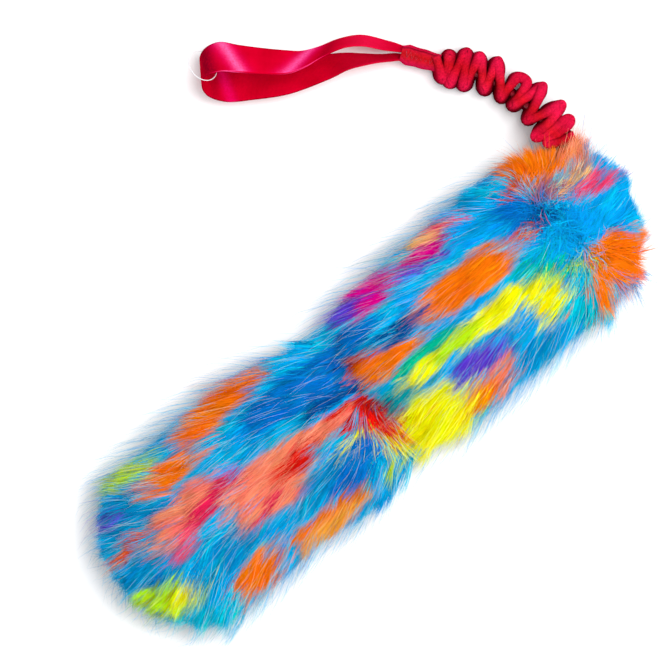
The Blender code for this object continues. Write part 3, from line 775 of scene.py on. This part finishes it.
def pile_shape(skin, rng):
    """Each strand's middle line, its root's normal and its lock, and which are guards."""
    roots, normals = thinned(*roots_on(skin, STRANDS, rng), rng)
    count = len(roots)
    flow = comb(roots, normals, rng)
    _, _, parted = from_parting(roots[:, 0], roots[:, 1])
    side = 1.0 - np.abs(normals[:, 2])
    often = 0.006 + 0.020 * smooth((parted - 45.0) / 60.0) + 0.045 * side
    guard = rng.uniform(0.0, 1.0, count) < often
    length = strand_lengths(roots, normals, parted, side, guard, rng)
    flow, length = tufted(roots, flow, length, rng)
    stands = 12.0 * near(parted, 24.0)
    lift = rng.normal(*LIFT, count) + 6.0 * side + np.where(guard, 8.0 + 8.0 * side, 0.0)
    droop = rng.normal(*DROOP, count) + np.where(guard, 4.0 + 14.0 * side, 0.0)
    lift, droop = np.radians(lift + stands), np.radians(droop + stands)
    loose = grown(roots, normals, flow, length, lift, droop)
    lines, lock = clumped(loose, roots, rng)
    lines[guard] = loose[guard]
    lines += rng.normal(0.0, STRAND_WANDER, (count, 1, 3)) * ROW_SHARE ** 2
    return drawn_in(lines), normals, lock, guard


def pile_dye(lines, lock, guard, rng):
    """Each strand's dye, row by row, with changes from lock to lock."""
    count, locks = len(lines), lock.max() + 1
    stray = rng.normal(0.0, LOCK_STRAY, locks)[lock] + rng.normal(0.0, STRAND_STRAY, count)
    seen = lines[:, 1] * 0.3 + lines[:, 2] * 0.7
    dye = coat(seen[:, 0], seen[:, 1], stray)
    shade = rng.normal(0.98, 0.15, locks)[lock] * rng.normal(1.0, 0.10, count)
    dye = dye * np.clip(shade, 0.5, 1.3)[:, None]
    dye[:, 1] *= np.exp(rng.normal(0.0, 0.16, locks)[lock])
    dye = np.clip(dye, 0.0, 1.0)[:, None]
    pale = guard & (rng.uniform(0.0, 1.0, count) < PALE_SHARE)
    fade = np.array(PALE_ROWS)[:, None] * np.where(pale, PALE_STRENGTH, 0.0)[:, None, None]
    return dye * (1.0 - fade) + fade * PALE_TIP


def strand_map(plan):
    """A small square for each band of a strand, placed by its root in a quarter map."""
    band = np.arange(ROWS - 1)
    quarter = np.stack([band % 2 * 0.5, band // 2 * 0.5], -1)[None, :, None]
    square = np.array([[-1.0, 0.0], [1.0, 0.0], [1.0, 1.0], [-1.0, 1.0]]) * 0.0012
    return quarter + 0.01 + 0.48 * plan[:, None, None] + square


def pile_piece(name, lines, normals, guard, dye, plan, rng, finish):
    """Flat tapered strands, lit as the body under them is."""
    count = len(lines)
    ahead = unit(np.gradient(lines, axis=1))
    facing = (normals + 0.9 * UP)[:, None]
    across = unit(np.cross(ahead, facing))
    up = np.cross(across, ahead)
    roll = rng.normal(0.0, 0.3, count)[:, None, None]
    across = across * np.cos(roll) + up * np.sin(roll)
    wide = STRAND_WIDTH * rng.uniform(0.7, 1.2, count) * np.where(guard, 0.5, 1.0)
    half = across * np.array(TAPER)[:, None] * wide[:, None, None] / 2.0
    verts = np.stack([lines - half, lines + half], 2)
    verts[..., 2] = np.maximum(verts[..., 2], PILE_LOWEST / 2.0)
    left, right = np.arange(count * ROWS * 2).reshape(count, ROWS, 2).transpose(2, 0, 1)
    quads = np.stack([left[:, :-1], right[:, :-1], right[:, 1:], left[:, 1:]], -1)
    mesh = mesh_of(name, verts.reshape(-1, 3), quads.reshape(-1, 4))
    lit = unit(facing + 0.2 * np.cross(across, ahead))
    soft = mesh.attributes.new("custom_normal", "FLOAT_VECTOR", "POINT")
    soft.data.foreach_set("vector", flat(np.repeat(lit, 2, axis=1)))
    paint = np.empty((count, ROWS, 2, 4))
    paint[..., :3] = dye[:, :, None]
    # The alpha, each row's share from root to tip, sets the painted shade at the root
    paint[..., 3] = ROW_SHARE
    dyed(mesh, paint)
    add_map(mesh, "OFBake", strand_map(plan))
    return add_piece(name, mesh, finish)


def dress_body():
    """The backing, and the pile in pieces of its own for each lobe."""
    skin = body_skin(skin_material())
    rng = np.random.default_rng(5)
    lines, normals, lock, guard = pile_shape(skin, rng)
    dye = pile_dye(lines, lock, guard, rng)
    roots = lines[:, 0]
    plan = (roots[:, :2] - roots[:, :2].min(0)) / np.ptp(roots[:, :2], axis=0)
    lobe = np.where((roots - ORIGIN) @ AXIS > 0.0, 0, PIECES_PER_LOBE)
    group = lobe + np.arange(len(lines)) % PIECES_PER_LOBE
    finish = pile_material()
    pieces = [skin]
    for number in range(2 * PIECES_PER_LOBE):
        own = [kind[group == number] for kind in (lines, normals, guard, dye, plan)]
        pieces.append(pile_piece(f"fur_pile_{number + 1}", *own, rng, finish))
    for piece in pieces:
        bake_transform(piece)
    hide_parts("fur_upper", "fur_lower")


# Bungee


def bungee_point(share):
    """A place on the elastic's middle line, from the neck to the mouth."""
    start, lead = at_pixel(*NECK_REAR), at_pixel(*BUNGEE_LEAD)
    end = Vector((MOUTH.x, MOUTH.y, 0.0))
    pull = end + Vector((math.cos(MOUTH_HEADING), math.sin(MOUTH_HEADING), 0.0)) * BUNGEE_PULL
    rest = 1.0 - share
    spot = (start * rest ** 3 + lead * 3 * rest ** 2 * share + pull * 3 * rest * share ** 2
            + end * share ** 3)
    risen = smooth((share - BUNGEE_RISE_FROM) / (1.0 - BUNGEE_RISE_FROM))
    spot.z = BUNGEE_LOW + (BODY_MIDDLE - BUNGEE_LOW) * risen
    return spot


def rounded_turns():
    """Two places for each turn of the ruffle, so that its folds end in round fingers."""
    turns = np.array([turn[:2] for turn in RUFFLE_TURNS], float)
    halves = [turn[2] if len(turn) > 2 else FINGER_HALF for turn in RUFFLE_TURNS[1:-1]]
    places = [turns[0]]
    for before, here, after, half in zip(turns[:-2], turns[1:-1], turns[2:], halves):
        ahead = unit(after - before)
        if ahead @ (turns[-1] - turns[0]) < 0.0:
            ahead = -ahead
        places += [here - ahead * half, here + ahead * half]
    return places + [turns[-1]]


def full_outline():
    """Cross-section of the gathered webbing, as round along its rim as a tube."""
    height = np.concatenate([np.linspace(-1.0, 1.0, 25), np.linspace(1.0, -1.0, 25)[1:-1]])
    cap = np.clip((np.abs(height) - (1.0 - RIM_SHARE)) / RIM_SHARE, 0.0, 1.0)
    half = SLEEVE_THICK / 2.0 * np.sqrt(1.0 - cap ** 2)
    half[25:] *= -1.0
    outline = np.stack([height * SLEEVE_TALL / 2.0, half], 1)
    return outline, travelled(outline)


def off_elastic(away):
    return np.clip(np.linalg.norm(away, axis=1) / RUFFLE_REACH, 0.0, 1.0)


def ruffle_line(spots):
    """The ruffle's middle line, its way off the elastic in the plan, and its sway."""
    line = np.array([at_pixel(px, py) for px, py in through(rounded_turns(), 9)])
    beside = spots[[plan_distance(spots, spot).argmin() for spot in line]]
    away = (line - beside) * LEVEL
    line[:, 2] = beside[:, 2]
    turns = travelled(line) * 2.0 * math.pi
    line[:, 2] += 0.0010 * np.sin(turns / 0.031 + 1.0)
    return line, away, np.sin(turns / 0.047)


def ruffle_rings(line, away, sway, outline):
    """Rings of the webbing, whose rim flares away from the elastic and sways."""
    ahead = unit(np.gradient(line, axis=0) * LEVEL)
    out = np.cross(UP, ahead)
    slim = (RUFFLE_SLIM + (1.0 - RUFFLE_SLIM) * off_elastic(away))[:, None]
    # On the inside of a turn, the webbing stops short of the turn's own centre
    heading = np.unwrap(np.arctan2(ahead[:, 1], ahead[:, 0]))
    bend = np.gradient(heading) / np.gradient(travelled(line))
    left, right = (TURN_SHARE / np.maximum(side * bend, 1.0)[:, None] for side in (1.0, -1.0))
    offset = np.clip(outline[:, 1] * slim, -right, left)[..., None]
    rise = UP + away * RUFFLE_FLARE + RUFFLE_LEAN * sway[:, None] * out
    rings = line[:, None] + outline[:, :1] * rise[:, None] + offset * out[:, None]
    rings[..., 2] = np.maximum(rings[..., 2], RUFFLE_LOWEST)
    return rings


def ruffle_painted_shade_and_sheen(line, away, outline):
    """Painted shade down the ruffle's side and redder towards the elastic, painted sheen pinker at
    the folds' far ends, and a cloudy tone.
    """
    high = outline[:, 0] / SLEEVE_TALL + 0.5
    # Painted shade, darker down the side of each fold
    depth = np.interp(high, [0.0, 0.80, 0.88, 0.96, 1.0], [0.34, 0.52, 0.74, 0.93, 1.0])
    reach = off_elastic(away)[:, None]
    # Painted shade redder near the elastic, and painted sheen pinker at the folds' far ends
    tint = (1.0 - reach) * [0.80, 0.80, 0.30] + reach * [1.0, 1.0, 1.15]
    cloud = 1.0 + 0.13 * ripple(line[:, 0], line[:, 1], 0.012, seed=41)
    return (depth[:, None] * (tint * cloud[:, None])[:, None]).reshape(-1, 3)


def dress_sleeve():
    """Gathered webbing: folds through the photo's own turns, with a full rounded rim."""
    spots = np.array([bungee_point(step / 200) for step in range(201)])
    line, away, sway = ruffle_line(spots)
    outline, widths = full_outline()
    rings = ruffle_rings(line, away, sway, outline)
    finish = webbing_material("ruffle_webbing", (182, 0, 18), (252, 34, 84), painted=True)
    sleeve = loft("ruffle", rings, travelled(line), widths, finish)
    inside = spots[4:-14] - INNER_DROP * UP
    join_into(sleeve, tube("ruffle_body", inside, INNER_RADIUS, 18, 0.036, finish))
    # Painted shade: the inner tube nearly black, and the folds their painted shade and sheen
    paint = np.full((len(sleeve.data.vertices), 4), INNER_PAINTED_SHADE)
    paint[:len(line) * len(outline), :3] = ruffle_painted_shade_and_sheen(line, away, outline)
    dyed(sleeve.data, paint)
    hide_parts("bungee_sleeve")
    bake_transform(sleeve)


def dress_core(finish):
    """The elastic, from inside the neck to the mouth."""
    front = NECK_AHEAD * NECK_CORE
    path = [at_pixel(*NECK_REAR, BUNGEE_LOW) - front * (1.0 - step / 6) for step in range(6)]
    path += [bungee_point(step / 60) for step in range(61)]
    core = tube("elastic", path, CORE_DIAMETER / 2.0, 16, 0.0118, finish)
    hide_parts("bungee_core")
    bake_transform(core)


# Handle

# The strap's key places, close to the CAD source's: pixel x and y, height of its lower
# edge in mm, dip and heading of its width in degrees, and the share of width kept
LOOP_KEYS = [
    (385, 44.5, 2.6, 68, -10, 0.80), (362, 40, 3.2, 70, 2, 1),
    (341, 43, 6, 72, 18, 1), (320, 52, 10, 70, 20, 1),
    (303, 59, 14, 60, 14, 1), (285, 62, 18, 47, 4, 1),
    (262, 61, 21, 43, 0, 1), (238, 58.8, 23.6, 39, 0, 1),
    (220, 57, 24.4, 33, 2, 1), (206, 62, 20, 38, 4, 1),
    (201, 71.5, 11.9, 40, 5, 1), (206.5, 81, 4.4, 36, 4, 1),
    (226, 86, 0.8, 32, 2, 1), (252, 84.5, 0.8, 35, 2, 1),
    (287, 80, 0.8, 40, 8, 1), (323, 67.5, 0.8, 44, 16, 1),
    (345, 61, 0.8, 58, 12, 1), (362, 59, 0.8, 68, 6, 1),
    (383, 57.5, 1.4, 74, -4, 0.86),
]

# The strap's places in the neck: share of the neck from its front, and dip
NECK_KEYS = ((0.9, 86.0), (0.45, 86.0), (0.0, 64.0))

# Painted sheen and painted shade on the strap: a place in the photo, half length in metres,
# strength, slant, and colour
PAINTED_SHEEN_AND_SHADE = [
    (206, 60, 0.0065, 0.75, 0.2, (96, 0, 26)), (232, 57, 0.0065, 0.75, 0.57, (250, 20, 130)),
    (231, 57, 0.0034, 0.4, 0.57, (255, 140, 200)), (301, 60, 0.008, 0.75, -0.9, (250, 20, 130)),
    (300, 60, 0.0042, 0.4, -0.9, (255, 120, 190)), (330, 50, 0.006, 0.5, -0.5, (120, 0, 24)),
    (225, 87, 0.004, 0.6, -0.3, (240, 10, 110)), (213, 86, 0.005, 0.5, 0.0, (120, 0, 24)),
    (368, 40, 0.016, 0.6, 0.0, (236, 24, 76)), (368, 59, 0.016, 0.6, 0.0, (232, 16, 66)),
]


def ribbon_outline(width, thickness, columns):
    """Cross-section of webbing: flat faces, and rounded edges that are a little thicker."""
    across = np.linspace(-1.0, 1.0, columns)
    edge = np.sqrt(np.clip(1.0 - np.abs(across) ** 14, 0.0, 1.0))
    thick = thickness / 2.0 * edge * (1.0 + 0.10 * smooth((np.abs(across) - 0.7) / 0.2))
    top = np.stack([across * width / 2.0, thick], 1)
    under = np.stack([across[::-1] * width / 2.0, -thick[::-1]], 1)[1:-1]
    map_across = np.concatenate([across, 2.0 + across[1:-1]]) * width / 2.0
    return np.concatenate([top, under]), map_across


def neck_key(share, dip, side):
    """A key place of the strap inside the neck, on one side of the elastic."""
    px, py = (a + (b - a) * share for a, b in zip(NECK_FRONT, NECK_REAR))
    shift = Vector((-NECK_AHEAD.y, NECK_AHEAD.x, 0.0)) * STRAP_OFFSET * side / PIXEL
    lift = (BUNGEE_LOW - NECK_TALL / 2.0) * 1000.0
    heading = math.degrees(math.atan2(NECK_AHEAD.y, NECK_AHEAD.x))
    return (px + shift.x, py - shift.y, lift, dip, heading, NECK_TALL / WEBBING_WIDTH)


def strap_stations(count):
    """Middle of the strap and way across it, at places from one end to the other."""
    keys = [neck_key(*key, 1.0) for key in NECK_KEYS] + LOOP_KEYS
    keys += [neck_key(*key, -1.0) for key in reversed(NECK_KEYS)]
    middles, ways = [], []
    for px, py, lift, dip, heading, share in through(keys, count):
        width = WEBBING_WIDTH * share
        dip, heading = math.radians(dip), math.radians(heading)
        middles.append(at_pixel(px, py, lift / 1000.0 + width * math.sin(dip) / 2.0))
        across = Vector((-math.sin(heading) * math.cos(dip), math.cos(heading) * math.cos(dip),
                         -math.sin(dip)))
        ways.append(across * share)
    return np.array(middles), np.array(ways)


def dress_strap():
    """Flat webbing in one twisted loop, with the photo's sheen and shade painted by its place."""
    middles, ways = strap_stations(12)
    out = unit(np.cross(np.gradient(middles, axis=0), ways))
    outline, widths = ribbon_outline(WEBBING_WIDTH, WEBBING_THICK, 25)
    rings = middles[:, None] + outline[:, :1] * ways[:, None] + outline[:, 1:] * out[:, None]
    rings[..., 2] = np.maximum(rings[..., 2], 0.0002)
    lengths = travelled(middles)
    # Painted sheen and painted shade, each at its place along the strap
    bands = [(lengths[plan_distance(middles, at_pixel(px, py)).argmin()], *band)
             for px, py, *band in PAINTED_SHEEN_AND_SHADE]
    finish = webbing_material("strap_webbing", (176, 0, 24), (222, 0, 46), bands)
    strap = loft("handle_strap", rings, lengths, widths, finish)
    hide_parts("handle_loop")
    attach(strap, "handle")


def neck_frame():
    """Place of the neck's middle, with its length along local Z."""
    up = Vector((0.0, 0.0, 1.0))
    turn = Matrix((up.cross(NECK_AHEAD), up, NECK_AHEAD)).transposed()
    middle = (at_pixel(*NECK_FRONT) + at_pixel(*NECK_REAR)) / 2.0
    middle.z = BUNGEE_LOW
    return Matrix.Translation(middle) @ turn.to_4x4()


def neck_outline():
    """Outside of the neck's section, soft on top with a crease, and its lining."""
    inner = STRAP_OFFSET + WEBBING_THICK + 2.0 * CLEARANCE
    wide = inner + WEBBING_THICK
    top = NECK_TALL / 2.0 + CLEARANCE
    across = np.cos(np.linspace(0.0, math.pi, 33))
    crown = top - 0.0022 + 0.0048 * np.sqrt(1.0 - across ** 2)
    crown -= 0.0009 * near(np.abs(across + 0.15), 0.14)
    legs = np.array([[wide, -top], [wide + 0.0002, -top / 2.0], [wide + 0.0002, top / 3.0]])
    mirror = np.array([-1.0, 1.0])
    outer = np.concatenate([legs, np.stack([wide * across, crown], 1), legs[::-1] * mirror])
    half = np.array([[-inner, -top], [-inner, 0.0], [-inner, top - 0.0024],
                     [-inner / 2.0, top + 0.0004]])
    lining = np.concatenate([half, [[0.0, top + 0.0004]], half[::-1] * mirror])
    return outer, lining, wide


def placed(local, frame_at):
    frame_at = np.array(frame_at)
    return local @ frame_at[:3, :3].T + frame_at[:3, 3]


def dress_neck():
    """Webbing folded over the strap ends, narrower in front, with a crease along its top and
    painted sheen at its sides.
    """
    outer, lining, wide = neck_outline()
    stations = np.linspace(-0.5, 0.5, 49) * (NECK.length + 0.001)
    rings = []
    for along in stations:
        share = along / stations[-1]
        front = smooth((-share - 0.60) / 0.40)
        width = 1.10 - 0.08 * share + 0.03 * math.sin(7.0 * share) - 0.26 * front
        height = 1.0 + 0.05 * math.sin(5.0 * share + 1.0) - 0.20 * front
        outline = np.concatenate([outer * [width, height], lining])
        local = np.column_stack([outline, np.full(len(outline), along)])
        rings.append(placed(local, neck_frame()))
    widths = np.concatenate([travelled(outer), travelled(outer)[-1] + travelled(lining)])
    finish = webbing_material("neck_webbing", (184, 2, 36), (244, 30, 96), painted=True)
    neck = loft("neck_fold", rings, stations - stations[0], widths, finish)
    # Painted sheen: pinker towards the neck's sides than across its middle
    edge = np.clip(np.abs(np.concatenate([outer, lining])[:, :1]) / wide, 0.0, 1.0) ** 2
    paint = (1.0 - edge) * [0.74, 1.0, 0.18] + edge
    dyed(neck.data, np.tile(np.column_stack([paint, edge]), (len(rings), 1)))
    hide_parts("neck_wrap")
    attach(neck, "handle")


def dress_tab(finish):
    """The short fold of webbing that holds the elastic at the plush."""
    outer = CORE_DIAMETER / 2.0 + CLEARANCE + WEBBING_THICK
    middle = outer - WEBBING_THICK / 2.0
    fold = outer - TAB_TAIL
    leg = [(TAB_REACH, middle), (TAB_REACH / 2.0, middle), (0.0, middle)]
    turns = np.linspace(math.pi / 2.0, 1.5 * math.pi, 13)
    line = leg + [(fold + middle * math.cos(t), middle * math.sin(t)) for t in turns]
    line += [(x, -y) for x, y in reversed(leg)]
    line = np.array([(x, y, 0.0) for x, y in line])
    out = np.cross(UP, unit(np.gradient(line, axis=0)))
    outline, widths = ribbon_outline(TAB_WIDTH, WEBBING_THICK, 15)
    local = line[:, None] + outline[:, :1] * UP + outline[:, 1:] * out[:, None]
    rings = placed(local, Matrix.Translation(MOUTH) @ Matrix.Rotation(MOUTH_HEADING, 4, "Z"))
    tab = loft("bungee_tab", rings, travelled(line), widths, finish)
    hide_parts("anchor_tab")
    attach(tab, "anchor")


# Pieces that keep their CAD shapes


def finish_nodes(material, *names):
    for name in names:
        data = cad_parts[name].data
        data.materials.clear()
        data.materials.append(material)


def dress_the_rest():
    finish_nodes(thread_material("webbing_thread", (150, 0, 30), (190, 4, 48)),
                 "neck_stitch", "anchor_stitch")
    finish_nodes(thread_material("seam_thread", (10, 70, 130), (30, 120, 190)),
                 "seam_upper_thread", "seam_lower_thread", "waist_stitch")
    finish_nodes(speckled_material("wadding", (206, 206, 200), (244, 244, 240),
                                   roughness=0.95, scale=260.0, depth=0.001),
                 "wadding_upper", "wadding_lower")
    finish_nodes(speckled_material("squeaker", (196, 204, 210), (226, 232, 236),
                                   roughness=0.35, scale=90.0, depth=0.0001),
                 "squeaker_upper_bulb", "squeaker_lower_bulb", "squeaker_upper_reed",
                 "squeaker_lower_reed")
    finish_nodes(speckled_material("inner_webbing", (120, 0, 20), (190, 4, 40),
                                   roughness=0.5, scale=500.0, depth=0.0002),
                 "anchor_tail")
    finish_nodes(speckled_material("clear_nylon", (226, 228, 232), (250, 250, 252),
                                   roughness=0.18, scale=60.0, depth=0.00002),
                 "tag_loop")


# Camera, floor and light


def set_camera():
    """Straight down, framed as the photo is at the body's middle."""
    data = bpy.data.cameras.new("camera")
    data.lens = data.sensor_width * CAMERA_HEIGHT / (PICTURE * PIXEL)
    data.clip_end = 100.0
    camera = add_object("camera", data)
    camera.location = at_pixel(PICTURE / 2.0, PICTURE / 2.0, BODY_MIDDLE + CAMERA_HEIGHT)
    bpy.context.scene.camera = camera


def seen_directly(tree):
    """1 for the camera, reflections and glass, and 0 for the light that it gives."""
    path = add_node(tree, "ShaderNodeLightPath")
    share = maths(tree, "MAXIMUM", path.outputs["Is Camera Ray"], path.outputs["Is Glossy Ray"])
    return maths(tree, "MAXIMUM", share, path.outputs["Is Transmission Ray"])


def set_floor():
    corners = FLOOR_HALF * np.array([(-1, -1, 0), (1, -1, 0), (1, 1, 0), (-1, 1, 0)])
    paper, tree, main = new_material("paper", 0.9, Specular_IOR_Level=0.0)
    colour = blended(tree, seen_directly(tree), grey(0.8), grey(1.0))
    tree.links.new(colour, main.inputs["Base Color"])
    floor = add_piece("floor", mesh_of("floor", corners, np.array([[0, 1, 2, 3]])), paper)


def set_world():
    """A white backdrop, which lights the toy less than it shows."""
    world = bpy.data.worlds.new("studio")
    world.use_nodes = True
    bpy.context.scene.world = world
    tree = world.node_tree
    tree.nodes.clear()
    fill = add_node(tree, "ShaderNodeBackground",
                    {"Color": (0.97, 0.98, 1.0, 1.0), "Strength": WORLD_FILL})
    plain = add_node(tree, "ShaderNodeBackground", {"Color": grey(1.0)})
    mix = add_node(tree, "ShaderNodeMixShader",
                   {0: seen_directly(tree), 1: fill.outputs[0], 2: plain.outputs[0]})
    add_node(tree, "ShaderNodeOutputWorld", {0: mix.outputs[0]})


def set_lamps():
    for name, place, size, power in LAMPS:
        data = bpy.data.lights.new(name, "AREA")
        data.size = size
        data.energy = power
        lamp = add_object(name, data)
        lamp.location = place
        lamp.rotation_euler = (-Vector(place)).to_track_quat("-Z", "Y").to_euler()


def build():
    bpy.context.scene.view_settings.view_transform = "Standard"
    set_camera()
    set_floor()
    set_world()
    set_lamps()
    dress_body()
    dress_sleeve()
    dress_core(thread_material("elastic_cover", (110, 0, 20), (168, 2, 38)))
    dress_strap()
    dress_neck()
    dress_tab(webbing_material("webbing", (180, 0, 26), (232, 0, 58)))
    dress_the_rest()


build()
